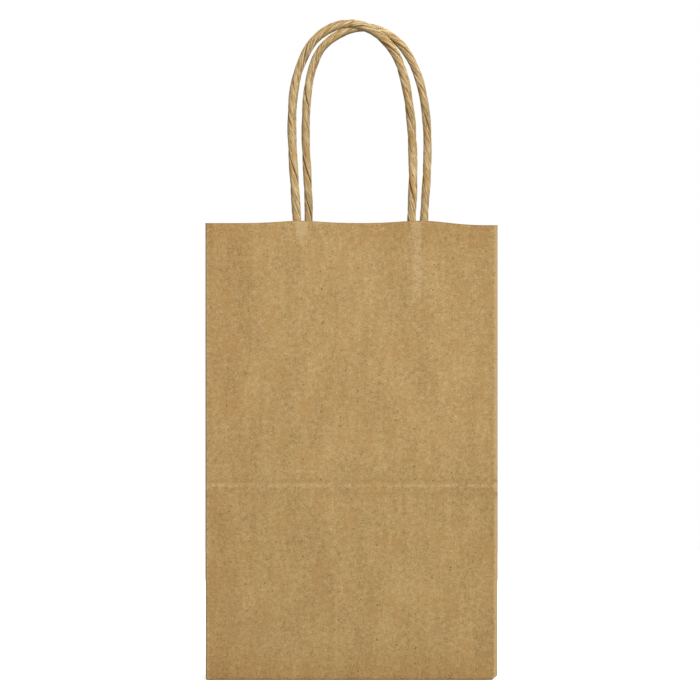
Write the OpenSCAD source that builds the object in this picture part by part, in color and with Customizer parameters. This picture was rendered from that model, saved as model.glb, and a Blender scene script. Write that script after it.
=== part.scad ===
// Paper gift bag with two twisted paper handles, standing open.
// +Z is up, the front faces -Y, and the origin is at the middle of the base on the floor.

/* [Bag] */
// Width from side fold to side fold
bag_w = 133; // [110:1:180]
// Depth of the open bag, outside
bag_d = 83; // [64:1:110]
// Height from the floor to the rim
bag_h = 209; // [160:1:300]
// Thickness of the kraft paper
paper_t = 0.2; // [0.15:0.05:0.3]
// How far each side's centre crease is pushed in
crease_in = 8; // [4:1:12]
// Height of the point where a side's creases meet
peak_h = 46; // [36:1:60]

/* [Base and seam] */
// How far the two base flaps lap over each other
flap_lap = 16; // [8:1:24]
// Length of the tucked ears, measured in from the side folds
ear_l = 48; // [36:1:50]
// Width of the glued side seam
seam_w = 12; // [8:1:18]

/* [Handles] */
// Diameter of the twisted paper cord
cord_d = 4; // [3.2:0.2:4.6]
// Width that the glued cord ends are pressed out to
end_w = 5; // [4:0.2:6]
// Thickness that the glued cord ends are pressed down to
end_t = 2.4; // [2:0.1:3]
// Depth of the cord ends' tips below the rim
end_drop = 34; // [20:1:40]

/* [Patches] */
// Width of the two strips that hold a handle
patch_w = 78; // [70:1:90]
// Height of those strips
patch_h = 36; // [24:1:40]
// Distance from the rim down to the strips
patch_drop = 4; // [3:1:8]

/* [Hidden] */

kraft = [0.71, 0.58, 0.38];
cord_kraft = [0.73, 0.62, 0.43];

// Routes of the two handles: [x, height above the rim], from the left leg to the right one.
front_route = [
    [-25, 2], [-25.5, 10], [-26.3, 22], [-27, 35], [-27.2, 47], [-26.3, 60], [-23.6, 71], [-18, 82],
    [-10, 88.5], [-1.5, 90.8], [7, 89], [14.5, 83.8], [20.5, 76], [24.4, 64.7], [26.8, 50], [27.8, 36],
    [28.1, 22], [27.8, 10], [27.4, 2]
];
back_route = [
    [-20, 2], [-20, 10], [-20.6, 24], [-21.3, 38], [-21.2, 50], [-20.4, 62], [-18.2, 73], [-14, 82],
    [-7, 88.1], [1, 91.3], [9, 91.7], [17, 88.7], [23.7, 82.9], [29, 74.2], [32.5, 64], [34.7, 51],
    [35.4, 37], [35, 22], [34.2, 10], [33.8, 2]
];
cord_sides = 10;
ring_steps = 4;
flex_low = 1;                                   // the cord bends from this far below the rim
flex_high = front_route[0].y;                   // to this far above it

half_w = bag_w / 2;
half_d = bag_d / 2;
inner_y = half_d - paper_t;                     // inner faces of the front and back panels
leaf_angle = atan(crease_in / inner_y);
leaf_w = norm([crease_in, inner_y]);
peak_lean = atan(crease_in / peak_h);
peak_l = norm([crease_in, peak_h]);
edge_gap = 0.15;                                // room for the paper's thickness at a fold
flap_d = half_d + flap_lap / 2;
leg_y = inner_y - paper_t - cord_d / 2;         // centre plane of a handle
liner_y = inner_y - paper_t;                    // inner face of a liner strip
patch_top = bag_h - patch_drop;

// ---- the folded sheet ----

module panel() {
    color(kraft)
        translate([-half_w, -half_d, 0])
            cube([bag_w, paper_t, bag_h]);
}

// A half of a side panel: from a corner fold (u = 0) in to the centre crease (u = leaf_w).
module leaf() {
    color(kraft)
        translate([half_w, -inner_y, 0])
            rotate([0, 0, leaf_angle])
                rotate([90, 0, -90])
                    linear_extrude(paper_t)
                        polygon([
                            [-edge_gap, edge_gap], [-leaf_w, peak_h + edge_gap],
                            [-leaf_w, bag_h], [-edge_gap, bag_h]
                        ]);
}

// The triangle between the two slanting creases at the foot of a side.
module base_triangle() {
    reach = inner_y - 2 * edge_gap;
    color(kraft)
        translate([half_w, 0, 0])
            rotate([0, -peak_lean, 0])
                rotate([90, 0, -90])
                    linear_extrude(paper_t)
                        polygon([
                            [-reach, edge_gap], [reach, edge_gap], [0, peak_l - 3 * edge_gap]
                        ]);
}

// The lap that closes the tube, glued to the inside of the back panel.
module seam_lap() {
    color(kraft)
        translate([-half_w + 3 * paper_t, inner_y - paper_t, 4 * paper_t])
            cube([seam_w, paper_t, bag_h - 4 * paper_t]);
}

// A base flap, with its folded edge at -Y and its ends slanting in at 45 degrees.
module base_flap(level) {
    fold_x = half_w - 3 * paper_t;
    color(kraft)
        translate([0, -inner_y, level * paper_t])
            linear_extrude(paper_t)
                polygon([
                    [-fold_x, 0], [fold_x, 0],
                    [fold_x - flap_d, flap_d], [flap_d - fold_x, flap_d]
                ]);
}

module ear() {
    tip = 6;                                    // how far the ear's free corners are cut back
    base_x = half_w - 3 * paper_t;
    color(kraft)
        translate([base_x, 0, 2 * paper_t])
            linear_extrude(paper_t)
                polygon([
                    [0, -inner_y], [0, inner_y],
                    [tip - ear_l, inner_y], [-ear_l, inner_y - tip],
                    [-ear_l, tip - inner_y], [tip - ear_l, -inner_y]
                ]);
}

// ---- the handles ----

function spline(a, b, c, d, t) =
    0.5 * (2 * b + (c - a) * t + (2 * a - 5 * b + 4 * c - d) * t * t
        + (3 * b - a - 3 * c + d) * t * t * t);

function smooth_route(points) = [
    for (i = [0:len(points) - 2])
        for (s = [0:ring_steps - 1])
            spline(points[max(i - 1, 0)], points[i], points[i + 1],
                points[min(i + 2, len(points) - 1)], s / ring_steps),
    points[len(points) - 1]
];

// Direction of a route at its i-th point; it starts straight up and ends straight down.
function heading(line, i) =
    i == 0 ? [0, 1]
    : i == len(line) - 1 ? [0, -1]
    : (line[i + 1] - line[i - 1]) / norm(line[i + 1] - line[i - 1]);

module loop(route) {
    line = smooth_route(route);
    rings = len(line);
    radius = cord_d / 2;
    points = [
        for (i = [0:rings - 1])
            let (way = heading(line, i))
                for (k = [0:cord_sides - 1])
                    let (turn = 360 * k / cord_sides)
                        [
                            line[i].x + radius * cos(turn) * way.y,
                            radius * sin(turn),
                            line[i].y - radius * cos(turn) * way.x
                        ]
    ];
    walls = [
        for (i = [0:rings - 2])
            for (k = [0:cord_sides - 1])
                let (next = (k + 1) % cord_sides, low = i * cord_sides, high = low + cord_sides)
                    [low + k, high + k, high + next, low + next]
    ];
    first_cap = [for (k = [0:cord_sides - 1]) k];
    last_cap = [for (k = [cord_sides - 1:-1:0]) (rings - 1) * cord_sides + k];
    color(cord_kraft)
        translate([0, -leg_y, bag_h])
            polyhedron(points, concat([first_cap], walls, [last_cap]), convexity = 6);
}

// x of a handle's two legs at the rim
function legs(route) = [route[0].x, route[len(route) - 1].x];

// The short stretches that flex where a handle passes the rim.
module bends(route) {
    color(cord_kraft)
        for (x = legs(route))
            translate([x, -leg_y, bag_h - flex_low])
                cylinder(d = cord_d, h = flex_low + flex_high, $fn = 48);
}

module pressed_outline(grow = 0) {
    side_x = (end_w - end_t) / 2;
    square([2 * side_x, end_t + 2 * grow], center = true);
    for (x = [-side_x, side_x])
        translate([x, 0])
            circle(d = end_t + 2 * grow, $fn = 48);
}

// The ends that are pressed flat and glued between the two strips of the patch.
module ends(route) {
    color(cord_kraft)
        for (x = legs(route))
            translate([x, -liner_y + end_t / 2, bag_h - end_drop])
                linear_extrude(end_drop - flex_low)
                    pressed_outline();
}

// ---- the patches ----

function patch_middle(route) = (legs(route)[0] + legs(route)[1]) / 2;

module patch_liner(route) {
    color(kraft)
        translate([patch_middle(route) - patch_w / 2, -inner_y, patch_top - patch_h])
            cube([patch_w, paper_t, patch_h]);
}

// The strip on the inside of the bag, moulded over the two cord ends.
module patch_cover(route) {
    color(kraft)
        translate([0, -liner_y, patch_top - patch_h])
            linear_extrude(patch_h)
                difference() {
                    union() {
                        translate([patch_middle(route) - patch_w / 2, 0])
                            square([patch_w, paper_t]);
                        for (x = legs(route))
                            translate([x, end_t / 2])
                                pressed_outline(paper_t);
                    }
                    for (x = legs(route))
                        translate([x, end_t / 2])
                            pressed_outline();
                    translate([-bag_w, -bag_d])
                        square([2 * bag_w, bag_d]);
                }
}

// Swaps front and back: what it draws at the front, y < 0, lands at the back.
module at_back() {
    mirror([0, 1, 0])
        children();
}

module at_left() {
    mirror([1, 0, 0])
        children();
}

panel();  // front_panel
at_back() panel();  // back_panel
leaf();  // right_gusset_front_leaf
at_back() leaf();  // right_gusset_back_leaf
base_triangle();  // right_gusset_base_triangle
at_left() leaf();  // left_gusset_front_leaf
at_left() at_back() leaf();  // left_gusset_back_leaf
at_left() base_triangle();  // left_gusset_base_triangle
seam_lap();  // side_seam_lap
at_back() base_flap(0);  // bottom_back_flap
base_flap(1);  // bottom_front_flap
ear();  // bottom_right_ear
at_left() ear();  // bottom_left_ear
loop(front_route);  // front_handle_loop
bends(front_route);  // front_handle_bends
ends(front_route);  // front_handle_ends
at_back() loop(back_route);  // back_handle_loop
at_back() bends(back_route);  // back_handle_bends
at_back() ends(back_route);  // back_handle_ends
patch_liner(front_route);  // front_patch_liner
patch_cover(front_route);  // front_patch_cover
at_back() patch_liner(back_route);  // back_patch_liner
at_back() patch_cover(back_route);  // back_patch_cover
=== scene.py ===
"""Folded kraft paper gift bag with two twisted paper handles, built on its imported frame."""

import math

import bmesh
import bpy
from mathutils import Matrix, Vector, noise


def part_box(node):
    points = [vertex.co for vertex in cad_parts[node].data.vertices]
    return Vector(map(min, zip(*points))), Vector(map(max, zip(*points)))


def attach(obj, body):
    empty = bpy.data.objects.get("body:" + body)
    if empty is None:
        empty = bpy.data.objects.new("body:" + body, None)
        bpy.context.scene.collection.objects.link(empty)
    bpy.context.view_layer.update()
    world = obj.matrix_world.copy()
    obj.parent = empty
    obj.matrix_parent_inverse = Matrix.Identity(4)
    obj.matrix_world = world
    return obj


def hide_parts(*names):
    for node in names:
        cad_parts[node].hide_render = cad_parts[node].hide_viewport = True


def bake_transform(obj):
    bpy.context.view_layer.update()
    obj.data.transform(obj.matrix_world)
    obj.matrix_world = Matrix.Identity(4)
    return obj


bl_info = {
    "name": "Kraft Gift Bag",
    "version": (1, 0, 0),
    "blender": (4, 5, 0),
    "location": "3D View > Sidebar > Gift Bag",
    "description": "Builds a folded kraft paper gift bag with twisted paper handles",
    "category": "Object",
}

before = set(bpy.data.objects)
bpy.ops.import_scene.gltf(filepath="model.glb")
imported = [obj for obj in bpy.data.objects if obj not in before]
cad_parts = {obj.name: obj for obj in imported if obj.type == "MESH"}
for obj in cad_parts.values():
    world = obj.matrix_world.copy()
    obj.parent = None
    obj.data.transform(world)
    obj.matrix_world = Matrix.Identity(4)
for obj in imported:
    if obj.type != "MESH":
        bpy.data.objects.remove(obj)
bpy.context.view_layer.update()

MM = 0.001
TOUCH = 0.01 * MM                           # places closer than this are one
SHARP_ANGLE = math.radians(50)              # a cut edge stays sharp, a fold is smooth

# ---- sizes that the frame gives ----

panel_low, panel_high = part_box("front_panel")
HALF_W = panel_high.x
HALF_D = -panel_low.y
RIM = panel_high.z
PAPER = panel_high.y - panel_low.y
CREASE_IN = HALF_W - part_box("right_gusset_front_leaf")[0].x - PAPER
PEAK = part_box("right_gusset_base_triangle")[1].z
SEAM_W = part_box("side_seam_lap")[1].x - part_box("side_seam_lap")[0].x
FLAP_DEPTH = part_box("bottom_front_flap")[1].y + HALF_D
EAR_LENGTH = HALF_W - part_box("bottom_right_ear")[0].x
CORD_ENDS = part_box("front_handle_ends")
END_DEPTH = RIM - CORD_ENDS[0].z
END_THICKNESS = CORD_ENDS[1].y - CORD_ENDS[0].y
CORD_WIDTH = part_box("front_handle_bends")[1].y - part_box("front_handle_bends")[0].y
CORD_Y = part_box("back_handle_bends")[0].y + CORD_WIDTH / 2
LINER_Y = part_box("back_patch_liner")[0].y

# Routes of the two handles in millimetres: x, and the height above the rim, from left leg to right.
ROUTES = {
    "front": [
        (-25, 2), (-25.5, 10), (-26.3, 22), (-27, 35), (-27.2, 47), (-26.3, 60), (-23.6, 71), (-18, 82),
        (-10, 88.5), (-1.5, 90.8), (7, 89), (14.5, 83.8), (20.5, 76), (24.4, 64.7), (26.8, 50), (27.8, 36),
        (28.1, 22), (27.8, 10), (27.4, 2),
    ],
    "back": [
        (-20, 2), (-20, 10), (-20.6, 24), (-21.3, 38), (-21.2, 50), (-20.4, 62), (-18.2, 73), (-14, 82),
        (-7, 88.1), (1, 91.3), (9, 91.7), (17, 88.7), (23.7, 82.9), (29, 74.2), (32.5, 64), (34.7, 51),
        (35.4, 37), (35, 22), (34.2, 10), (33.8, 2),
    ],
}
SIDES = {"front": -1, "back": 1}


def leg_places(side):
    """x of a handle's two legs at the rim, in metres."""
    route = ROUTES[side]
    return route[0][0] * MM, route[-1][0] * MM


# ---- settings ----


class SheetSettings(bpy.types.PropertyGroup):
    """The folded sheet's shape and colour"""

    fold_radius: bpy.props.FloatProperty(
        name="Fold Radius", description="Radius of the four upright folds",
        default=1.0 * MM, unit="LENGTH"
    )
    base_radius: bpy.props.FloatProperty(
        name="Base Radius", description="Radius of the folds round the base",
        default=0.8 * MM, unit="LENGTH"
    )
    bow: bpy.props.FloatProperty(
        name="Panel Bow", description="How far the front and back panels belly out",
        default=1.3 * MM, unit="LENGTH"
    )
    mark_height: bpy.props.FloatProperty(
        name="Mark Height", description="Height of the pressed line across the front",
        default=88.3 * MM, unit="LENGTH"
    )
    mark_depth: bpy.props.FloatProperty(
        name="Mark Depth", description="Relief of the pressed line",
        default=0.16 * MM, unit="LENGTH"
    )
    crinkle: bpy.props.FloatProperty(
        name="Crinkle", description="Height of the paper's slow unevenness",
        default=0.35 * MM, unit="LENGTH"
    )
    colour: bpy.props.FloatVectorProperty(
        name="Kraft", description="Colour of the kraft paper",
        default=(0.402, 0.260, 0.100), size=3, subtype="COLOR", min=0, max=1
    )


class CordSettings(bpy.types.PropertyGroup):
    """The twisted paper cord's shape and colour"""

    pitch: bpy.props.FloatProperty(
        name="Twist Pitch", description="Length of one whole turn of the twist",
        default=34 * MM, unit="LENGTH"
    )
    groove: bpy.props.FloatProperty(
        name="Groove", description="Depth of the grooves between the strands, as a share of the radius",
        default=0.18, min=0, max=0.5
    )
    colour: bpy.props.FloatVectorProperty(
        name="Cord", description="Colour of the twisted paper",
        default=(0.506, 0.358, 0.148), size=3, subtype="COLOR", min=0, max=1
    )


class StageSettings(bpy.types.PropertyGroup):
    """The camera and the light"""

    distance: bpy.props.FloatProperty(
        name="Camera Distance", description="Distance from the camera to the front panel",
        default=4.0, unit="LENGTH"
    )
    view_width: bpy.props.FloatProperty(
        name="View Width", description="Width that the view takes in at the front panel",
        default=0.3196, unit="LENGTH"
    )
    view_height: bpy.props.FloatProperty(
        name="View Height", description="Height of the middle of the view",
        default=0.1507, unit="LENGTH"
    )
    view_side: bpy.props.FloatProperty(
        name="View Side", description="Sideways place of the middle of the view",
        default=-0.0007, unit="LENGTH"
    )
    key_strength: bpy.props.FloatProperty(
        name="Key Light", description="Strength of the soft light from the upper right",
        default=2.87, min=0
    )
    front_power: bpy.props.FloatProperty(
        name="Front Light", description="Power in watts of the soft light above and in front",
        default=0.9, min=0
    )
    back_strength: bpy.props.FloatProperty(
        name="Back Light", description="Strength of the soft light from behind",
        default=2.8, min=0
    )
    side_strength: bpy.props.FloatProperty(
        name="Side Light", description="Strength of the soft light on the left side",
        default=0.2, min=0
    )
    window_strength: bpy.props.FloatProperty(
        name="Window Light", description="Strength of the cool light on the right side",
        default=0.4, min=0
    )
    top_strength: bpy.props.FloatProperty(
        name="Top Light", description="Strength of the wide light from overhead",
        default=1.2, min=0
    )
    sky_strength: bpy.props.FloatProperty(
        name="Room Light", description="Strength of the even light from all round",
        default=0.1, min=0
    )


# ---- helpers for shapes ----


def smooth_step(low, high, value):
    share = min(max((value - low) / (high - low), 0.0), 1.0)
    return share * share * (3 - 2 * share)


def hump(distance, spread):
    """1 at no distance, falling smoothly to 0 over about twice the spread."""
    return math.exp(-((distance / spread) ** 2))


def soft_min(a, b, blend):
    """The smaller of two values, rounded where they cross."""
    share = max(blend - abs(a - b), 0.0) / blend
    return min(a, b) - share * share * blend / 4


def stops(low, high, step, guard):
    """Places from low to high: one a guard in from each end, and about a step apart between them."""
    first, last = low + guard, high - guard
    count = max(1, round((last - first) / step))
    return [low] + [first + (last - first) * i / count for i in range(count + 1)] + [high]


def new_piece(name, bm, material):
    """Makes a smooth shaded object of a bmesh."""
    mesh = bpy.data.meshes.new(name)
    bm.to_mesh(mesh)
    bm.free()
    mesh.shade_smooth()
    piece = bpy.data.objects.new(name, mesh)
    bpy.context.scene.collection.objects.link(piece)
    piece.data.materials.append(material)
    return piece


def thicken(piece, thickness):
    """Gives a sheet its thickness on the inner side, and keeps its cut edges sharp."""
    solid = piece.modifiers.new("Thickness", "SOLIDIFY")
    solid.thickness = thickness
    solid.offset = -1
    bpy.context.view_layer.update()
    evaluated = piece.evaluated_get(bpy.context.evaluated_depsgraph_get())
    mesh = bpy.data.meshes.new_from_object(evaluated)
    piece.modifiers.clear()
    piece.data = mesh
    mesh.set_sharp_from_angle(angle=SHARP_ANGLE)


def extrude_row(bm, edges):
    """Extrudes a row of edges and gives the new vertices and the new row."""
    made = bmesh.ops.extrude_edge_only(bm, edges=edges)["geom"]
    verts = [part for part in made if isinstance(part, bmesh.types.BMVert)]
    fresh = set(verts)
    row = [part for part in made if isinstance(part, bmesh.types.BMEdge) and fresh.issuperset(part.verts)]
    return verts, row


# ---- the folded sheet ----

LAP_GAP = 1.25 * PAPER                      # from the back panel's face in to the seam lap's face
LAP_START = 4 * HALF_W + 4 * HALF_D - LAP_GAP
LAPPED = 1.3 * PAPER                        # from one layer's face to the next one's in the base
SHEET_STEP = 3.5 * MM
FOLD_GUARD = 2.4 * MM                       # from a fold to the nearest column of faces
ROW_GUARD = 1.5 * MM                        # from an edge to the nearest row of faces
LOWER_WIDER, UPPER_WIDER = 0.0008, 0.003    # shares: all over, and more above the base triangles
SIDE_SLACK = 0.5 * MM                       # how far the gusset leaves sag inwards
PEAK_CREASE = 0.18 * MM                     # depth of the crease across the back panel
LEG_RIDGE = 0.32 * MM                       # how far a panel stands out over a glued cord end
RIM_MARKS = {"front": (-23.5 * MM, 31 * MM), "back": (-20 * MM, 34 * MM)}
RIM_RISE, RIM_RISE_REACH = 1.08 * MM, 13 * MM       # the rim stands up near each leg
RIM_DROP, CORNER_DROP = 0.34 * MM, 0.95 * MM        # and is lower between them and at the right corner
KNOCK_ACROSS, KNOCK_UP = 2.5 * MM, 2.0 * MM         # size of the knocked in lower right edge

# Wear is above nought where the paper is rubbed pale, and on the right fold also where a highlight is
# painted; below nought where it is pressed darker along the mark, and where shade is painted along the
# front left fold and the cut rim.
# The right folds are paler than the left ones: rubbing, and painted highlight where the light from the
# right falls on them.
RIGHT_FOLD_WORN_AND_HIGHLIT, LEFT_FOLD_WORN = 1.0, 0.55
EDGE_WORN, CREASE_WORN, PEAK_WORN = 0.5, 0.8, 0.6
LEFT_FOLD_PAINTED_SHADE, RIM_PAINTED_SHADOW = -5.0, -2.5      # painted shade along the front left fold, painted shadow along the cut rim
LINE_WEAR = ((-0.1, 1.15, 0.5), (2.6, 1.1, -0.75), (-3.3, 1.3, -1.0))   # offset and reach in mm, and wear


def sheet_run(x, y):
    """Distance along the sheet's width, from its free edge at the back left corner."""
    if abs(x) < HALF_W - FOLD_GUARD and HALF_D - 4 * PAPER < y < HALF_D - PAPER / 2:
        return LAP_START + HALF_W + x
    if y > HALF_D - PAPER / 2 or (x > 0 and y > 0):
        return HALF_W + x + HALF_D - y
    if x > 0:
        return 2 * HALF_W + HALF_D - y + HALF_W - x
    return 3 * HALF_W + 3 * HALF_D - x + y


def leaf_depth(y, fold):
    """How far a gusset leaf is pushed in, from none at its fold to the most at the centre crease."""
    soft, half = 0.7 * MM, HALF_D - fold
    share = (math.hypot(y, soft) - soft) / (math.hypot(half, soft) - soft)
    return CREASE_IN * (1 - min(share, 1.0))


def triangle_depth(z):
    """How far the base triangle is pushed in, from none at the floor to the most at its peak."""
    return CREASE_IN * z / PEAK


def gusset_depth(y, z, fold):
    """How far a side is pushed in: two leaves that meet at the centre crease, and the base triangle."""
    return max(soft_min(leaf_depth(y, fold), triangle_depth(z), blend=0.45 * MM), 0.0)


def panel_offset(x, z, side, settings):
    """How far outwards the front (-1) or back (1) panel stands from its plane."""
    belly = settings.bow * math.cos(math.pi / 2 * x / HALF_W) * max(math.sin(math.pi * z / RIM), 0.0) ** 0.8
    legs = leg_places("front" if side < 0 else "back")
    ridge = sum(hump(x - leg, 3.6 * MM) for leg in legs) * smooth_step(RIM - 38 * MM, RIM - 26 * MM, z)
    uneven = settings.crinkle * noise.noise(Vector((x * 28, side * 3.1, z * 22)))
    fine = 0.3 * settings.crinkle * noise.noise(Vector((x * 90, side * 7.7, z * 40)))
    edge = math.cos(math.pi / 2 * min(abs(x) / HALF_W, 1.0)) ** 0.5
    return belly + LEG_RIDGE * ridge + (uneven + fine) * edge * smooth_step(0, 20 * MM, z)


def mark_relief(z, settings):
    """The pressed line that the folded base leaves across the front panel."""
    away = z - settings.mark_height
    crest, trough = hump(away, 0.9 * MM), hump(away, 3.4 * MM)
    return settings.mark_depth * (crest - 0.55 * trough)


def rim_lift(x, side):
    """How far the cut rim stands above or below its straight line."""
    marks = RIM_MARKS["front" if side < 0 else "back"]
    lift = RIM_RISE * sum(hump(x - mark, RIM_RISE_REACH) for mark in marks)
    return lift - RIM_DROP - CORNER_DROP * smooth_step(36 * MM, 60 * MM, x)


class SheetBuilder:
    """Makes the folded sheet: walls, seam lap, base flaps and ears."""

    def __init__(self, settings):
        self.settings = settings
        self.bm = bmesh.new()
        self.flat = self.bm.verts.layers.float_vector.new("flat")
        self.wear = self.bm.verts.layers.float.new("wear")

    def build(self):
        self.raise_walls()
        self.round_folds()
        self.cut_creases()
        self.lay_flat_coordinates()
        row = self.curl_base()
        self.fold_flaps(row)
        self.mark_wear_and_painted_light()
        self.shape()
        bm = self.bm
        bmesh.ops.recalc_face_normals(bm, faces=bm.faces)
        front = min(bm.faces, key=lambda face: face.calc_center_median().y)
        if front.normal.y > 0:
            bmesh.ops.reverse_faces(bm, faces=bm.faces)
        return bm

    def raise_walls(self):
        """The sheet's outline at the floor, extruded up to the rim row by row."""
        fold = self.settings.fold_radius
        corners = [
            Vector((fold - HALF_W, HALF_D)), Vector((HALF_W, HALF_D)), Vector((HALF_W, -HALF_D)),
            Vector((-HALF_W, -HALF_D)), Vector((-HALF_W, HALF_D - LAP_GAP)),
            Vector((SEAM_W - HALF_W, HALF_D - LAP_GAP)),
        ]
        low = self.settings.base_radius
        places = []
        for start, end in zip(corners, corners[1:]):
            length = (end - start).length
            for stop in stops(0, length, SHEET_STEP, FOLD_GUARD)[:-1]:
                places.append(start.lerp(end, stop / length))
        places.append(corners[-1])
        verts = [self.bm.verts.new((*place, low)) for place in places]
        row = [self.bm.edges.new(pair) for pair in zip(verts, verts[1:])]
        for height in self.row_heights(low):
            verts, row = extrude_row(self.bm, row)
            for vert in verts:
                vert.co.z = height

    def row_heights(self, low):
        """Heights of the rows of faces, closer together along the lines that cross the sheet."""
        lines = {self.settings.mark_height: (0.5, 1.0, 1.7, 2.6, 3.3, 4.4, 5.8), PEAK: (0.5, 1.2, 2.4)}
        heights = stops(low, RIM, SHEET_STEP, ROW_GUARD)[1:] + [RIM - 0.3 * MM, RIM - 0.8 * MM]
        for line, offsets in lines.items():
            reach = (offsets[-1] + 1) * MM
            heights = [height for height in heights if abs(height - line) > reach]
            heights += [line] + [line + sign * offset * MM for offset in offsets for sign in (-1, 1)]
        return sorted(heights)

    def round_folds(self):
        """Rounds the upright folds at the corners."""
        corners = [(HALF_W, HALF_D), (HALF_W, -HALF_D), (-HALF_W, -HALF_D), (-HALF_W, HALF_D - LAP_GAP)]
        folds = []
        for edge in self.bm.edges:
            a, b = (vert.co for vert in edge.verts)
            upright = (a.xy - b.xy).length < TOUCH
            if upright and any((a.xy - Vector(corner)).length < TOUCH for corner in corners):
                folds.append(edge)
        bmesh.ops.bevel(
            self.bm, geom=folds, offset=self.settings.fold_radius, offset_type="OFFSET",
            segments=6, profile=0.5, affect="EDGES", material=-1
        )

    def cut_creases(self):
        """Cuts the sides along their creases, so that faces meet there."""
        half = HALF_D - self.settings.fold_radius
        past_peak, under_peak, beside = 4 * MM, 6 * MM, 8 * MM
        for offset in (-1.7, -0.8, 0, 0.8, 1.7):
            for end in (-1, 1):
                normal = Vector((0, PEAK, end * half)).normalized()
                point = Vector((0, end * half, 0)) + normal * offset * MM
                self.cut_sides(
                    point, normal, lambda c, end=end: c.z < PEAK + past_peak and c.y * end > -past_peak
                )
            point, normal = Vector((0, offset * MM, 0)), Vector((0, 1, 0))
            self.cut_sides(point, normal, lambda c: c.z > PEAK - under_peak and abs(c.y) < beside)

    def cut_sides(self, point, normal, chosen):
        """Cuts the chosen faces of the two sides along a plane."""
        faces = [
            face for face in self.bm.faces
            if abs(face.normal.x) > 0.99 and chosen(face.calc_center_median())
        ]
        edges = dict.fromkeys(edge for face in faces for edge in face.edges)
        verts = dict.fromkeys(vert for face in faces for vert in face.verts)
        bmesh.ops.bisect_plane(
            self.bm, geom=[*verts, *edges, *faces], dist=0.03 * MM, plane_co=point, plane_no=normal
        )

    def lay_flat_coordinates(self):
        """Gives each point of the walls its place on the flat sheet, for the paper's pattern."""
        for vert in self.bm.verts:
            x, y, z = vert.co
            vert[self.flat] = (sheet_run(x, y), z, 0)

    def curl_base(self):
        """Turns the walls' lower edge inwards, and gives the row at the end of the turn."""
        radius = self.settings.base_radius
        low = radius + TOUCH
        walls_end = LAP_START - self.settings.fold_radius + LAP_GAP
        row = [
            edge for edge in self.bm.edges
            if edge.is_boundary
            and all(v.co.z < low and v[self.flat].x < walls_end for v in edge.verts)
            and (edge.verts[0].co.xy - edge.verts[1].co.xy).length > TOUCH
        ]
        segments = 4
        for i in range(segments):
            turn, before = (math.pi / 2 * k / segments for k in (i + 1, i))
            inwards = radius * (math.cos(before) - math.cos(turn))
            verts, row = extrude_row(self.bm, row)
            for vert in verts:
                self.tuck(vert, inwards)
                vert.co.z = radius * (1 - math.sin(turn))
                vert[self.flat] = vert[self.flat] - Vector((0, radius * math.pi / 2 / segments, 0))
        return row

    def tuck(self, vert, amount):
        """Moves a vertex inwards, and at a corner towards the middle of its fold."""
        fold = self.settings.fold_radius
        x, y, z = vert.co
        middle = Vector((
            math.copysign(min(abs(x), HALF_W - fold), x), math.copysign(min(abs(y), HALF_D - fold), y), z
        ))
        vert.co += (middle - vert.co).normalized() * amount

    def fold_flaps(self, row):
        """Makes the two flaps and the two ears from the end of the turn."""
        radius = self.settings.base_radius
        flap_stops = stops(radius, FLAP_DEPTH, SHEET_STEP, ROW_GUARD)
        ear_stops = stops(radius, EAR_LENGTH, SHEET_STEP, 2 * ROW_GUARD)
        for side in (-1, 1):
            self.fold_in(
                row, 1, side, flap_stops, lambda depth: HALF_W - depth,
                lambda co, side=side: self.flap_level(co, side)
            )
            self.fold_in(row, 0, side, ear_stops, self.ear_width, self.ear_level)

    def straight_part(self, row, axis, side):
        """The edges of the row along one wall, between its two rounded corners."""
        halves = (HALF_W, HALF_D)
        place = halves[axis] - self.settings.base_radius
        reach = halves[1 - axis] - self.settings.fold_radius + 2 * TOUCH
        return [
            edge for edge in row
            if all(
                abs(v.co[axis] * side - place) < 2 * TOUCH and abs(v.co[1 - axis]) < reach
                for v in edge.verts
            )
        ]

    def fold_in(self, row, axis, side, places, width, level):
        """Extrudes a flap or an ear inwards along an axis, changing its width and level as it goes."""
        edges = self.straight_part(row, axis, side)
        for before, depth in zip(places, places[1:]):
            verts, edges = extrude_row(self.bm, edges)
            share = width(depth) / width(before)
            for vert in verts:
                vert.co[axis] -= side * (depth - before)
                vert.co[1 - axis] *= share
                vert.co.z = level(vert.co)
                vert[self.flat] -= Vector((0, depth - before, 0))

    def ear_width(self, depth):
        """Half the width of an ear: it clears the panels, and its tip's corners are cut back."""
        clear = 1.0 * MM + 0.7 * MM * smooth_step(0, 6 * MM, depth)
        cut_back = 6 * MM * smooth_step(EAR_LENGTH - 4 * MM, EAR_LENGTH + 3 * MM, depth)
        return HALF_D - clear - cut_back

    def flap_level(self, co, side):
        """Only the front flap climbs, on to the back one's free edge."""
        lap = FLAP_DEPTH - HALF_D
        return LAPPED * smooth_step(-lap - 7 * MM, -lap - 1 * MM, co.y) if side < 0 else 0.0

    def ear_level(self, co):
        """An ear lies on whatever flaps are under it."""
        lap = FLAP_DEPTH - HALF_D
        depth, along = HALF_W - abs(co.x), HALF_D - abs(co.y)
        on_one = smooth_step(-2 * MM, 0.5 * MM, depth - along)
        lap_begun = smooth_step(-lap - 8 * MM, -lap - 2 * MM, co.y)
        lap_ended = smooth_step(lap, lap + 5 * MM, co.y)
        return LAPPED * on_one * (1 + lap_begun * (1 - lap_ended))

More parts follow.
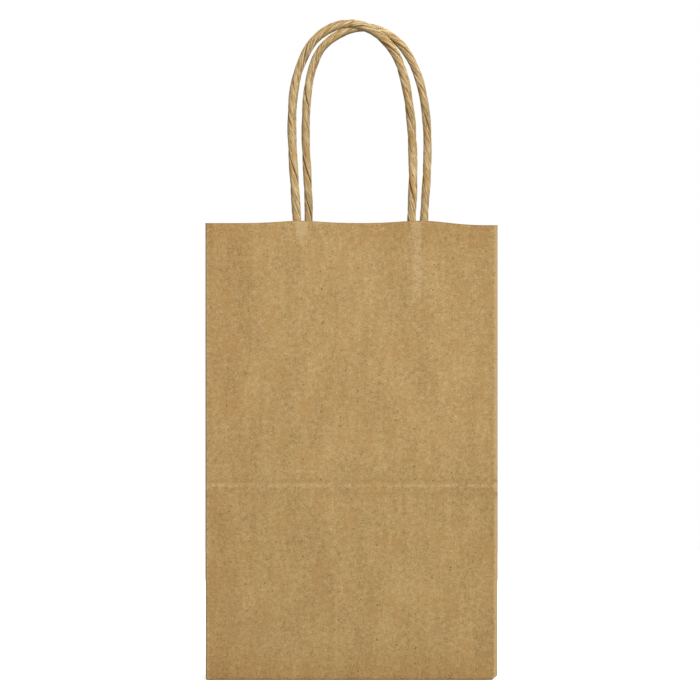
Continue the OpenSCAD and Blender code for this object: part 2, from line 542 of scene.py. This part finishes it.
    def mark_wear_and_painted_light(self):
        """Marks where the paper is rubbed or broken, with painted highlight on the right fold, and below
        nought where it is pressed darker, and where painted shade runs along the front left fold and the
        cut rim.
        """
        fold = self.settings.fold_radius
        for vert in self.bm.verts:
            x, y, z = vert.co
            at_side = abs(x) > HALF_W - 2 * MM
            at_panel = abs(y) > HALF_D - 2 * MM
            # Rubbed folds, with painted highlight on the right ones, which face the light.
            wear = (RIGHT_FOLD_WORN_AND_HIGHLIT if x > 0 else LEFT_FOLD_WORN) * (at_side and at_panel)
            wear = max(wear, EDGE_WORN * hump(z, 0.9 * MM) * (at_side or at_panel))
            wear = max(wear, EDGE_WORN * hump(z - RIM + 0.9 * MM, 0.6 * MM))
            if at_side:
                apart = leaf_depth(y, fold) - triangle_depth(z)
                crease = y / (1.0 * MM) if z > PEAK else apart / (0.3 * MM)
                wear = max(wear, CREASE_WORN * hump(crease, 1))
            if at_panel and y < 0:
                for offset, reach, amount in LINE_WEAR:
                    wear += amount * hump(z - self.settings.mark_height - offset * MM, reach * MM)
            if y > 0:
                wear = max(wear, PEAK_WORN * hump(z - PEAK, 0.9 * MM) * (at_panel or at_side))
            # Painted shade: a dark line along the front left fold, which turns away from the light.
            if x < 0.25 * MM - HALF_W and y < 0 and at_panel:
                wear = LEFT_FOLD_PAINTED_SHADE
            # Painted shadow: a dark line along the cut rim.
            vert[self.wear] = wear + RIM_PAINTED_SHADOW * hump(z - RIM, 0.25 * MM)

    def shape(self):
        """Pushes the gussets in, bellies the panels, and waves the rim."""
        settings = self.settings
        fold = settings.fold_radius + 2 * TOUCH
        for vert in self.bm.verts:
            x, y, z = vert.co
            side = -1 if y < 0 else 1
            if abs(y) > HALF_D - fold:
                out = panel_offset(x, z, side, settings)
                if y < 0:
                    out += mark_relief(z, settings)
                else:
                    out -= PEAK_CREASE * hump(z - PEAK, 1.1 * MM)
                vert.co.y += side * out
            vert.co.z += rim_lift(x, side) * smooth_step(RIM - 30 * MM, RIM, z)
            if abs(x) > HALF_W - fold:
                slack = SIDE_SLACK * math.sin(math.pi * abs(y) / HALF_D)
                slack *= smooth_step(PEAK, PEAK + 40 * MM, z)
                uneven = settings.crinkle * noise.noise(Vector((x * 40, y * 30, z * 22)))
                fade = smooth_step(0, 8 * MM, HALF_D - abs(y)) * smooth_step(0, 15 * MM, z)
                depth = gusset_depth(y, z, settings.fold_radius) + slack + uneven * fade
                vert.co.x -= math.copysign(depth, x)
            above = smooth_step(PEAK - 1.5 * MM, PEAK + 1.5 * MM, z)
            vert.co.x *= 1 + LOWER_WIDER + UPPER_WIDER * above
            self.blunt_corner(vert)

    def blunt_corner(self, vert):
        """Flattens the lower right edge, which is knocked in a little."""
        reach = (HALF_W - vert.co.x) / KNOCK_ACROSS + vert.co.z / KNOCK_UP
        if reach < 1 and vert.co.x > 0:
            vert.co.x -= (1 - reach) * KNOCK_ACROSS / 2
            vert.co.z += (1 - reach) * KNOCK_UP / 2


class GIFTBAG_OT_sheet(bpy.types.Operator):
    """Builds the folded sheet of the bag: its walls, seam lap, base flaps and ears"""

    bl_idname = "gift_bag.sheet"
    bl_label = "Folded Sheet"

    def execute(self, context):
        settings = context.scene.gift_bag_sheet
        bm = SheetBuilder(settings).build()
        piece = new_piece("folded_sheet", bm, kraft_paper("sheet_kraft", settings.colour))
        thicken(piece, PAPER)
        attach(piece, "bag")
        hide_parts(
            "front_panel", "back_panel", "left_gusset_front_leaf", "left_gusset_back_leaf",
            "left_gusset_base_triangle", "right_gusset_front_leaf", "right_gusset_back_leaf",
            "right_gusset_base_triangle", "side_seam_lap", "bottom_front_flap", "bottom_back_flap",
            "bottom_left_ear", "bottom_right_ear"
        )
        return {"FINISHED"}


# ---- the patches that hold the handles ----

STRIP_PAPER = PAPER * 0.85                  # thickness of a strip
STRIP_PALER = 1.04
GLUE_GAP = 0.02 * MM                        # keeps glued faces apart
COVER_GAP = 0.25 * MM                       # from a cord end up to the cover over it


def ridge_height(x, depth, side):
    """How far a cover strip stands off its liner over the two cord ends."""
    height = 0.0
    for leg in leg_places(side):
        away = abs(x - leg)
        crown = END_THICKNESS + COVER_GAP - 0.3 * MM * (away / (2.5 * MM)) ** 2
        tent = max(crown, 0) * (1 - smooth_step(2.3 * MM, 4.9 * MM, away))
        past_end = smooth_step(END_DEPTH + 0.6 * MM, END_DEPTH + 4.4 * MM, depth)
        height = max(height, tent * (1 - past_end))
    return height


def patch_strip(name, node, side, raised, settings, material):
    """Makes one strip of a patch, laid against the panel, or moulded over the cord ends if raised."""
    low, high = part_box(node)
    sign = SIDES[side]
    bm = bmesh.new()
    flat = bm.verts.layers.float_vector.new("flat")
    wear = bm.verts.layers.float.new("wear")
    step = (0.6 if raised else 3) * MM
    columns, rows = (max(2, round(length / step)) for length in (high.x - low.x, high.z - low.z))
    bmesh.ops.create_grid(bm, x_segments=columns, y_segments=rows, size=0.5)
    face_y = LINER_Y if raised else LINER_Y + PAPER
    for vert in bm.verts:
        x = low.x + (vert.co.x + 0.5) * (high.x - low.x)
        z = low.z + (vert.co.y + 0.5) * (high.z - low.z)
        vert[flat] = (x + 3 * HALF_W, z, 0.01 * (1 + raised))
        off = panel_offset(x, z, sign, settings) - GLUE_GAP * (1 + raised)
        rise = ridge_height(x, RIM - z, side) if raised else 0.0
        edge = min(x - low.x, high.x - x, z - low.z, high.z - z)
        vert[wear] = EDGE_WORN * hump(edge, 0.7 * MM)
        vert.co = (x, sign * (face_y + off - rise), z)
    bmesh.ops.recalc_face_normals(bm, faces=bm.faces)
    if bm.faces[:][0].normal.y * sign < 0:
        bmesh.ops.reverse_faces(bm, faces=bm.faces)
    piece = new_piece(name, bm, material)
    thicken(piece, STRIP_PAPER)
    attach(piece, "bag")
    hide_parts(node)


class GIFTBAG_OT_patches(bpy.types.Operator):
    """Builds the four strips that hold the cord ends inside the rim"""

    bl_idname = "gift_bag.patches"
    bl_label = "Handle Patches"

    def execute(self, context):
        settings = context.scene.gift_bag_sheet
        material = kraft_paper("strip_kraft", [STRIP_PALER * channel for channel in settings.colour])
        for side in SIDES:
            patch_strip(f"{side}_liner_strip", f"{side}_patch_liner", side, False, settings, material)
            patch_strip(f"{side}_cover_strip", f"{side}_patch_cover", side, True, settings, material)
        return {"FINISHED"}


# ---- the twisted cords ----

CORD_FACETS = 36
RING_STEP = 0.6 * MM
ROUTE_STEPS = 16                            # points between two points of a route
SEATED_DEPTH = 7 * MM                       # below the rim, from where an end is flat between its strips
END_WIDER, END_FLATTER = 0.33, 0.43         # shares by which a glued end is pressed out
CORD_SEEDS = {"front": 11.3, "back": 47.9}
CORD_SWELLS = {"front": 1.015, "back": 0.965}


def spline_point(a, b, c, d, t):
    """A point between b and c on the curve that passes through a, b, c and d."""
    square, cube = 2 * a - 5 * b + 4 * c - d, 3 * b - a - 3 * c + d
    return 0.5 * (2 * b + (c - a) * t + square * t * t + cube * t ** 3)


def cord_path(side):
    """Points along a whole cord, evenly spaced, from one glued end over the loop to the other."""
    route = [Vector((x * MM, 0, RIM + h * MM)) for x, h in ROUTES[side]]
    line = [Vector((route[0].x, 0, RIM - END_DEPTH))]
    for i in range(len(route) - 1):
        a, d = route[max(i - 1, 0)], route[min(i + 2, len(route) - 1)]
        line += [spline_point(a, route[i], route[i + 1], d, k / ROUTE_STEPS) for k in range(ROUTE_STEPS)]
    line += [route[-1], Vector((route[-1].x, 0, RIM - END_DEPTH))]
    spaced, spare = [line[0]], 0.0
    for a, b in zip(line, line[1:]):
        length = (b - a).length
        place = RING_STEP - spare
        while place <= length:
            spaced.append(a.lerp(b, place / length))
            place += RING_STEP
        spare = length - (place - RING_STEP)
    seat = LINER_Y - END_THICKNESS / 2 - CORD_Y
    for point in spaced:
        under = smooth_step(RIM - 2 * MM, RIM - SEATED_DEPTH, point.z)
        point.y = SIDES[side] * (CORD_Y + seat * under)
    return spaced


def strand_radius(angle, along, groove, seed, swell):
    """The cord's radius and how deep in a groove that place is, from the twist of its two strands."""
    radius = CORD_WIDTH / 2 * (swell + 0.035 * noise.noise(Vector((seed, along / (12 * MM), 0))))
    deep = 0.0
    for strand in range(2):
        wander = 0.5 * noise.noise(Vector((seed + 5 * strand, along / (19 * MM), 2.5)))
        away = math.remainder(angle - math.pi * strand - wander, 2 * math.pi)
        gape = noise.noise(Vector((seed + 3 + 7 * strand, along / (13 * MM), 5.5)))
        open_by = max(0.0, 0.85 + 1.5 * gape)
        deep = max(deep, open_by * hump(away, 0.14 + 0.06 * open_by))
    around = Vector((math.cos(angle) * 1.9, math.sin(angle) * 1.9, along / (26 * MM) + seed))
    wrinkle = 0.04 * noise.noise(around) + 0.03 * noise.noise(around * 2.6)
    lobe = 0.03 * math.cos(2 * angle + math.pi)
    return radius * (1 - groove * deep + wrinkle + lobe), deep


class CordBuilder:
    """Makes one twisted cord by extruding a ring along its path."""

    def __init__(self, side, settings, sheet):
        self.side, self.settings, self.sheet = side, settings, sheet
        self.seed, self.swell = CORD_SEEDS[side], CORD_SWELLS[side]
        self.bm = bmesh.new()
        self.straight = self.bm.verts.layers.float_vector.new("straight")
        self.groove = self.bm.verts.layers.float.new("groove")
        self.place = self.bm.verts.layers.int.new("place")

    def build(self):
        path = self.seated(cord_path(self.side))
        bm = self.bm
        verts = bmesh.ops.create_circle(bm, segments=CORD_FACETS, radius=CORD_WIDTH / 2)["verts"]
        for i, vert in enumerate(verts):
            vert[self.place] = i
        row = list(bm.edges)
        for i, point in enumerate(path):
            if i:
                verts, row = extrude_row(bm, row)
            ahead = path[min(i + 1, len(path) - 1)] - path[max(i - 1, 0)]
            self.set_ring(verts, point, ahead.normalized(), i * RING_STEP)
        bmesh.ops.holes_fill(bm, edges=[edge for edge in bm.edges if edge.is_boundary])
        bmesh.ops.recalc_face_normals(bm, faces=bm.faces)
        return bm

    def seated(self, path):
        """Moves the ends with the panel, which bellies, so that they stay between the strips."""
        sign = SIDES[self.side]
        for point in path:
            if point.z < RIM:
                under = smooth_step(RIM - 2 * MM, RIM - SEATED_DEPTH, point.z)
                point.y += sign * under * panel_offset(point.x, point.z, sign, self.sheet)
        return path

    def set_ring(self, verts, point, heading, along):
        """Lays one ring of the cord round a point, turned by the twist and pressed flat below the rim."""
        across = Vector((0, 1, 0))
        sideways = heading.cross(across).normalized()
        press = smooth_step(RIM - 2.5 * MM, RIM - SEATED_DEPTH, point.z)
        widen, flatten = 1 + END_WIDER * press, 1 - END_FLATTER * press
        turn = 2 * math.pi * along / self.settings.pitch
        for vert in verts:
            angle = 2 * math.pi * vert[self.place] / CORD_FACETS
            radius, deep = strand_radius(angle, along, self.settings.groove, self.seed, self.swell)
            vert[self.straight] = (math.cos(angle) * radius, math.sin(angle) * radius, along)
            vert[self.groove] = deep
            spun = angle + turn
            vert.co = point + sideways * (radius * math.cos(spun) * widen)
            vert.co += across * (radius * math.sin(spun) * flatten)


class GIFTBAG_OT_handles(bpy.types.Operator):
    """Builds the two twisted paper handles, each one cord from end to end"""

    bl_idname = "gift_bag.handles"
    bl_label = "Twisted Handles"

    def execute(self, context):
        settings = context.scene.gift_bag_cord
        material = cord_paper("twisted_kraft", settings.colour)
        for side, sign in SIDES.items():
            bm = CordBuilder(side, settings, context.scene.gift_bag_sheet).build()
            piece = new_piece(f"{side}_handle_cord", bm, material)
            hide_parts(f"{side}_handle_loop", f"{side}_handle_bends", f"{side}_handle_ends")
            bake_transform(piece)
        return {"FINISHED"}


# ---- materials ----


class Socket:
    """An output in a material's node tree. Sums with it add Math nodes."""

    def __init__(self, graph, output):
        self.graph = graph
        self.output = output

    def _math(self, operation, first, second):
        return self.graph.node("ShaderNodeMath", {"operation": operation}, {0: first, 1: second})

    def __add__(self, other):
        return self._math("ADD", self, other)

    def __radd__(self, other):
        return self._math("ADD", other, self)

    def __sub__(self, other):
        return self._math("SUBTRACT", self, other)

    def __rsub__(self, other):
        return self._math("SUBTRACT", other, self)

    def __mul__(self, other):
        return self._math("MULTIPLY", self, other)

    def __rmul__(self, other):
        return self._math("MULTIPLY", other, self)


class Graph:
    """A material's node tree, with one method that adds any node."""

    def __init__(self, name):
        self.material = bpy.data.materials.new(name)
        self.material.use_nodes = True
        self.tree = self.material.node_tree
        self.tree.nodes.clear()

    def node(self, kind, settings=None, values=None, output=0):
        """Adds a node, sets its settings, then its sockets' values or links, and gives one output."""
        made = self.tree.nodes.new(kind)
        for key, value in (settings or {}).items():
            setattr(made, key, value)
        for key, value in (values or {}).items():
            if isinstance(value, Socket):
                self.tree.links.new(value.output, made.inputs[key])
            else:
                made.inputs[key].default_value = value
        return Socket(self, made.outputs[output]) if made.outputs else made

    def mix(self, factor, first, second, blend="MIX"):
        """Mixes two colours."""
        first, second = (
            (*colour, 1) if isinstance(colour, (tuple, list)) and len(colour) == 3 else colour
            for colour in (first, second)
        )
        return self.node(
            "ShaderNodeMix", {"data_type": "RGBA", "blend_type": blend},
            {0: factor, 6: first, 7: second}, output=2
        )

    def absolute(self, value):
        return self.node("ShaderNodeMath", {"operation": "ABSOLUTE"}, {0: value})

    def band(self, value, middle, reach):
        """1 at the middle value, falling smoothly to 0 at the reach."""
        return 1 - self.step(self.absolute(value - middle), 0, reach)

    def step(self, value, low, high):
        """0 below low, 1 above high and smooth between."""
        return self.node(
            "ShaderNodeMapRange", {"interpolation_type": "SMOOTHSTEP"},
            {"Value": value, "From Min": low, "From Max": high}
        )

    def grain(self, space, size, turn=0.0, detail=3, roughness=0.55, place=(0, 0, 0)):
        """Noise whose features have a size in metres along the space's axes, turned about its z."""
        sizes = size if isinstance(size, tuple) else (size, size, size)
        local = self.node(
            "ShaderNodeMapping", {"vector_type": "TEXTURE"},
            {"Vector": space, "Location": place, "Rotation": (0, 0, turn), "Scale": sizes}
        )
        return self.node(
            "ShaderNodeTexNoise", {},
            {"Vector": local, "Scale": 1, "Detail": detail, "Roughness": roughness}
        )

    def spots(self, space, spacing, size, place):
        """A scatter of spots: 1 inside a spot. Only some cells hold one, and they differ in size."""
        local = self.node(
            "ShaderNodeMapping", {"vector_type": "TEXTURE"},
            {"Vector": space, "Location": place, "Scale": (spacing, spacing, spacing)}
        )
        kind = {"feature": "F1", "voronoi_dimensions": "2D"}
        cells = {"Vector": local, "Scale": 1, "Randomness": 1}
        distance = self.node("ShaderNodeTexVoronoi", kind, cells)
        colour = self.node("ShaderNodeTexVoronoi", kind, cells, output=1)
        pick = self.node("ShaderNodeSeparateColor", {}, {0: colour})
        radius = self.step(pick, 0.3, 1.1) * (size / spacing)
        return self.node("ShaderNodeMath", {"operation": "LESS_THAN"}, {0: distance, 1: radius})

    def surface(self, colour, roughness, height, relief, **uniform):
        """The closing shader: colour and roughness, and a bump of a relief given in metres."""
        normal = self.node("ShaderNodeBump", {}, {"Strength": 1.0, "Distance": relief, "Height": height})
        values = {"Base Color": colour, "Roughness": roughness, "Normal": normal, **uniform}
        shader = self.node("ShaderNodeBsdfPrincipled", {}, values)
        self.node("ShaderNodeOutputMaterial", {}, {"Surface": shader})
        return self.material


def tinted(colour, red, green, blue):
    return tuple(channel * share for channel, share in zip(colour, (red, green, blue)))


# Spots in kraft, dark and then pale: spacing and size in mm, place, strength, and tint of the paper.
FLECKS = (
    (8.5, 0.42, (0.11, 0.23, 0.05), 0.75, (0.34, 0.27, 0.22)),
    (5.2, 0.26, (0.31, 0.73, 0.15), 0.55, (0.46, 0.40, 0.33)),
    (5.1, 0.30, (0.41, 0.13, 0.65), 0.4, (1.40, 1.50, 1.70)),
)

# The pale bands over the two legs, partly rubbing and partly painted highlight on the lit side of each
# ridge: strength, and the depths under the rim where one begins and is full.
LEG_RUBS_AND_HIGHLIGHTS = ((1.1, 15 * MM, 4 * MM), (0.75, 44 * MM, 28 * MM))
LEG_HIGHLIGHT_SHIFT, LEG_HIGHLIGHT_REACH = 2.2 * MM, 5.0 * MM
RIM_SHADE_WEAKEST = 21 * MM                     # from the middle to where the painted shade under the rim is weakest


def kraft_paper(name, colour):
    """Unbleached kraft: matted fibres, upright streaks, flecks and rubbed folds, with painted shade by the
    front folds, under the rim and towards the foot, and painted highlight on the right fold and over the
    legs.
    """
    g = Graph(name)
    flat = g.node("ShaderNodeAttribute", {"attribute_name": "flat"}, output="Vector")
    wear = g.node("ShaderNodeAttribute", {"attribute_name": "wear"}, output="Fac")
    run = g.node("ShaderNodeSeparateXYZ", {}, {0: flat}, output=0)
    height = g.node("ShaderNodeSeparateXYZ", {}, {0: flat}, output=1)
    pulp = g.grain(flat, 0.85 * MM, detail=2, roughness=0.7, place=(0.6, 0.3, 0.8))
    mottle = g.grain(flat, 2.2 * MM, detail=4, roughness=0.65)
    clouds = g.grain(flat, (13 * MM, 24 * MM, 1), detail=4, place=(0.3, 0.1, 0.2))
    streaks = g.grain(flat, (1.9 * MM, 26 * MM, 1), detail=3, place=(0.7, 0.2, 0.5))
    fibres = [
        g.grain(flat, (3.2 * MM, 0.45 * MM, 1), turn=turn, detail=2, place=(turn, 0.4, 0.6 + turn))
        for turn in (0.35, 1.45, 2.5)
    ]
    woven = (fibres[0] + fibres[1] + fibres[2]) * (1 / 3)
    matted = 1.25 * (pulp - 0.5) + 1.0 * (mottle - 0.5) + 1.7 * (woven - 0.5)
    tone = matted + 0.62 * (clouds - 0.5) + 0.36 * (streaks - 0.5) + 0.5
    base = g.mix(tone, tinted(colour, 0.67, 0.595, 0.48), tinted(colour, 1.33, 1.39, 1.50))
    warm = g.grain(flat, (6 * MM, 13 * MM, 1), detail=4, place=(0.9, 0.6, 0.1))
    base = g.mix(g.step(warm, 0.48, 0.74) * 0.6, base, tinted(colour, 1.0, 0.885, 0.72))
    from_fold = g.absolute(run - 4 * HALF_W - 2 * HALF_D)
    from_right = g.absolute(run - 2 * HALF_W - 2 * HALF_D)
    from_middle = run - 3 * HALF_W - 2 * HALF_D
    off_line = g.step(g.absolute(height - 0.4 * RIM), 0.1 * RIM, 0.35 * RIM)
    rim_shade_spread = g.step(g.absolute(from_middle - RIM_SHADE_WEAKEST), 5 * MM, 46 * MM)
    shades = (
        # Painted shade: darker towards the front left fold, on the side turned from the light, weaker about
        # two fifths of the way up.
        ((1 - g.step(from_fold, 0, 34 * MM)) * (0.5 + 0.5 * off_line), (0.92, 0.865, 0.82)),
        # Painted shade: darker and warmer within 14 mm of the front right fold.
        (1 - g.step(from_right, 0, 14 * MM), (0.95, 0.93, 0.895)),
        # Painted shade: darker towards the foot, and more so in the lowest 17 mm.
        (1 - g.step(height, 0, 0.9 * RIM), (0.925, 0.92, 0.895)),
        (1 - g.step(height, 0, 17 * MM), (0.92, 0.88, 0.80)),
        # Painted shade: darker under the rim, least so 21 mm from the middle of the front.
        (g.step(height, RIM - 17 * MM, RIM + 3 * MM) * rim_shade_spread, (0.90, 0.85, 0.74)),
    )
    for amount, shade in shades:
        base = g.mix(amount, base, shade, blend="MULTIPLY")
    for spacing, size, place, strength, tint in FLECKS:
        spots = g.spots(flat, spacing * MM, size * MM, place)
        base = g.mix(spots * strength, base, tinted(colour, *tint))
    worn_and_highlit = wear
    # Pale bands over the legs: rubbing, and painted highlight on the lit side of the ridges.
    for leg, (strength, lowest, full) in zip(leg_places("front"), LEG_RUBS_AND_HIGHLIGHTS):
        band = g.band(from_middle, -leg - LEG_HIGHLIGHT_SHIFT, LEG_HIGHLIGHT_REACH)
        worn_and_highlit = worn_and_highlit + strength * (band * g.step(height, RIM - lowest, RIM - full))
    # Paler where rubbed, and painted highlight on the right fold and over the legs.
    rubbed_and_highlit = g.step(worn_and_highlit + 0.9 * matted, 0.2, 0.95)
    base = g.mix(rubbed_and_highlit * 0.55, base, tinted(colour, 1.27, 1.42, 1.80))
    clamped = {"operation": "MULTIPLY", "use_clamp": True}
    # Darker where wear is below nought: pressed along the mark, and painted shade along the front left fold
    # and painted shadow along the rim.
    pressed_and_shaded = g.node("ShaderNodeMath", clamped, {0: wear, 1: -0.12})
    base = g.mix(pressed_and_shaded, base, tinted(colour, 0.45, 0.40, 0.34))
    relief = 0.55 * woven + 0.3 * mottle + 0.15 * pulp
    return g.surface(base, 0.74 + 0.12 * (woven - 0.5), relief, 0.09 * MM, **{"Specular IOR Level": 0.35})


def cord_paper(name, colour):
    """Tightly twisted kraft paper: long wrinkles and creases that follow the twist, with painted shade in
    the creases and in the grooves between the strands.
    """
    g = Graph(name)
    straight = g.node("ShaderNodeAttribute", {"attribute_name": "straight"}, output="Vector")
    groove = g.node("ShaderNodeAttribute", {"attribute_name": "groove"}, output="Fac")
    wrinkles = g.grain(straight, (0.6 * MM, 0.6 * MM, 9 * MM), detail=3, roughness=0.65)
    hairs = g.grain(straight, (0.34 * MM, 0.34 * MM, 4 * MM), detail=2, place=(0.2, 0.1, 0.4))
    clouds = g.grain(straight, (1.6 * MM, 1.6 * MM, 9 * MM), detail=3, place=(0.5, 0.8, 0.2))
    tone = 1.9 * (wrinkles - 0.5) + 2.5 * (hairs - 0.5) + 1.0 * (clouds - 0.5) + 0.48
    base = g.mix(tone, tinted(colour, 0.54, 0.39, 0.12), tinted(colour, 1.46, 1.66, 2.35))
    lines = g.grain(straight, (0.75 * MM, 0.75 * MM, 10 * MM), detail=1, place=(0.4, 0.6, 0.9))
    # Painted shade in the creases of the twisted paper.
    shaded_creases = (1 - g.step(g.absolute(lines - 0.48), 0.004, 0.034)) * g.step(clouds, 0.36, 0.54)
    warm = g.grain(straight, (2.2 * MM, 2.2 * MM, 13 * MM), detail=2, place=(0.7, 0.3, 0.6))
    base = g.mix(g.step(warm, 0.47, 0.68) * 0.75, base, tinted(colour, 1.0, 0.85, 0.58))
    base = g.mix(shaded_creases * 0.9, base, tinted(colour, 0.33, 0.19, 0.05))
    # Painted shade in the grooves between the strands, darker where a groove opens wider.
    groove_shade = g.step(groove + 0.9 * (wrinkles - 0.5), 0.38, 0.95)
    base = g.mix(groove_shade * 0.92, base, tinted(colour, 0.22, 0.12, 0.03))
    relief = 0.6 * wrinkles + 0.25 * hairs - 0.35 * shaded_creases
    return g.surface(base, 0.66 + 0.15 * (wrinkles - 0.5), relief, 0.25 * MM, **{"Specular IOR Level": 0.4})


# ---- the stage ----

FLOOR_RADIUS = 2.5
FLOOR_DROP = 0.05 * MM                      # keeps the floor clear of the base
FLOOR_GLOW = 0.82
WHITE, COOL = (1, 1, 1), (0.84, 0.96, 1.2)

# The distant lights: where each comes from, its spread in degrees and its colour.
SUNS = {
    "key": ((0.46, -1.0, 0.8), 30, WHITE),
    "back": ((0.4, 1.0, 0.7), 60, WHITE),
    "side": ((-1.0, -0.1, 0.35), 60, WHITE),
    "window": ((1.0, -0.35, 0.1), 40, COOL),
    "top": ((-0.1, -0.25, 1.0), 110, WHITE),
}


class GIFTBAG_OT_stage(bpy.types.Operator):
    """Makes the white floor, the soft lights and the camera"""

    bl_idname = "gift_bag.stage"
    bl_label = "Stage"

    def execute(self, context):
        settings = context.scene.gift_bag_stage
        self.add_floor()
        self.add_lights(settings)
        self.add_camera(context.scene, settings)
        return {"FINISHED"}

    def add_floor(self):
        """A round white table: it looks white, and throws little light back up on to the bag."""
        bm = bmesh.new()
        bmesh.ops.create_circle(bm, cap_ends=True, cap_tris=True, segments=96, radius=FLOOR_RADIUS)
        bmesh.ops.translate(bm, verts=bm.verts, vec=(0, 0, -FLOOR_DROP))
        g = Graph("studio_floor")
        speckle = g.grain(g.node("ShaderNodeTexCoord", output="Object"), 0.4, detail=2)
        tone = g.mix(speckle, (0.22, 0.22, 0.219), (0.24, 0.24, 0.239))
        seen = g.mix(g.node("ShaderNodeLightPath", output="Is Camera Ray"), (0, 0, 0), WHITE)
        glow = {"Emission Color": seen, "Emission Strength": FLOOR_GLOW}
        floor = new_piece("studio_floor", bm, g.surface(tone, 0.9, speckle, 0.1 * MM, **glow))

    def add_lights(self, settings):
        """A white room: even light all round, the distant lights, and one light above and in front."""
        world = bpy.data.worlds.new("studio_world")
        world.use_nodes = True
        tree = world.node_tree
        background = tree.nodes["Background"]
        path = tree.nodes.new("ShaderNodeLightPath")
        strength = tree.nodes.new("ShaderNodeMapRange")
        strength.inputs["To Min"].default_value = settings.sky_strength
        strength.inputs["To Max"].default_value = 1.0
        tree.links.new(path.outputs["Is Camera Ray"], strength.inputs["Value"])
        tree.links.new(strength.outputs["Result"], background.inputs["Strength"])
        background.inputs["Color"].default_value = (*WHITE, 1)
        bpy.context.scene.world = world
        for name, (towards, spread, colour) in SUNS.items():
            self.add_sun(f"{name}_light", towards, spread, colour, getattr(settings, f"{name}_strength"))
        self.add_front_light(settings.front_power)

    def add_front_light(self, power):
        """A square soft light above and in front, near enough to light the rim more than the base."""
        data = bpy.data.lights.new("front_light", "AREA")
        data.size, data.energy = 0.5, power
        light = bpy.data.objects.new("front_light", data)
        light.location = (0.05, -0.6, 0.75)
        aim = Vector((0, -HALF_D, 0.15)) - light.location
        light.rotation_euler = aim.to_track_quat("-Z", "Y").to_euler()
        light.visible_camera = False
        bpy.context.scene.collection.objects.link(light)

    def add_sun(self, name, towards, spread, colour, strength):
        """A distant light that shines from one direction, softened over a spread in degrees."""
        data = bpy.data.lights.new(name, "SUN")
        data.angle, data.energy, data.color = math.radians(spread), strength, colour
        light = bpy.data.objects.new(name, data)
        light.location = towards
        light.rotation_euler = (-Vector(towards)).to_track_quat("-Z", "Y").to_euler()
        bpy.context.scene.collection.objects.link(light)

    def add_camera(self, scene, settings):
        """A long lens, level and square to the front panel."""
        data = bpy.data.cameras.new("studio_camera")
        data.sensor_width = 36
        data.lens = data.sensor_width * settings.distance / settings.view_width
        data.clip_end = 100
        camera = bpy.data.objects.new("studio_camera", data)
        camera.location = (settings.view_side, -HALF_D - settings.distance, settings.view_height)
        camera.rotation_euler = (math.pi / 2, 0, 0)
        scene.collection.objects.link(camera)
        scene.camera = camera
        scene.view_settings.view_transform = "Standard"


class GIFTBAG_PT_panel(bpy.types.Panel):
    """Lists the bag's pieces and their settings"""

    bl_idname = "GIFTBAG_PT_panel"
    bl_label = "Gift Bag"
    bl_space_type = "VIEW_3D"
    bl_region_type = "UI"
    bl_category = "Gift Bag"

    def draw(self, context):
        groups = (
            (GIFTBAG_OT_sheet, "gift_bag_sheet"), (GIFTBAG_OT_patches, None),
            (GIFTBAG_OT_handles, "gift_bag_cord"), (GIFTBAG_OT_stage, "gift_bag_stage"),
        )
        for operator, group in groups:
            box = self.layout.box()
            box.operator(operator.bl_idname)
            if group:
                settings = getattr(context.scene, group)
                for name in settings.__annotations__:
                    box.prop(settings, name)


CLASSES = (
    SheetSettings, CordSettings, StageSettings,
    GIFTBAG_OT_sheet, GIFTBAG_OT_patches, GIFTBAG_OT_handles, GIFTBAG_OT_stage, GIFTBAG_PT_panel,
)


def register():
    for cls in CLASSES:
        bpy.utils.register_class(cls)
    bpy.types.Scene.gift_bag_sheet = bpy.props.PointerProperty(type=SheetSettings)
    bpy.types.Scene.gift_bag_cord = bpy.props.PointerProperty(type=CordSettings)
    bpy.types.Scene.gift_bag_stage = bpy.props.PointerProperty(type=StageSettings)


def unregister():
    del bpy.types.Scene.gift_bag_sheet
    del bpy.types.Scene.gift_bag_cord
    del bpy.types.Scene.gift_bag_stage
    for cls in reversed(CLASSES):
        bpy.utils.unregister_class(cls)


def main():
    register()
    bpy.ops.gift_bag.stage()
    bpy.ops.gift_bag.sheet()
    bpy.ops.gift_bag.patches()
    bpy.ops.gift_bag.handles()


if __name__ == "__main__":
    main()
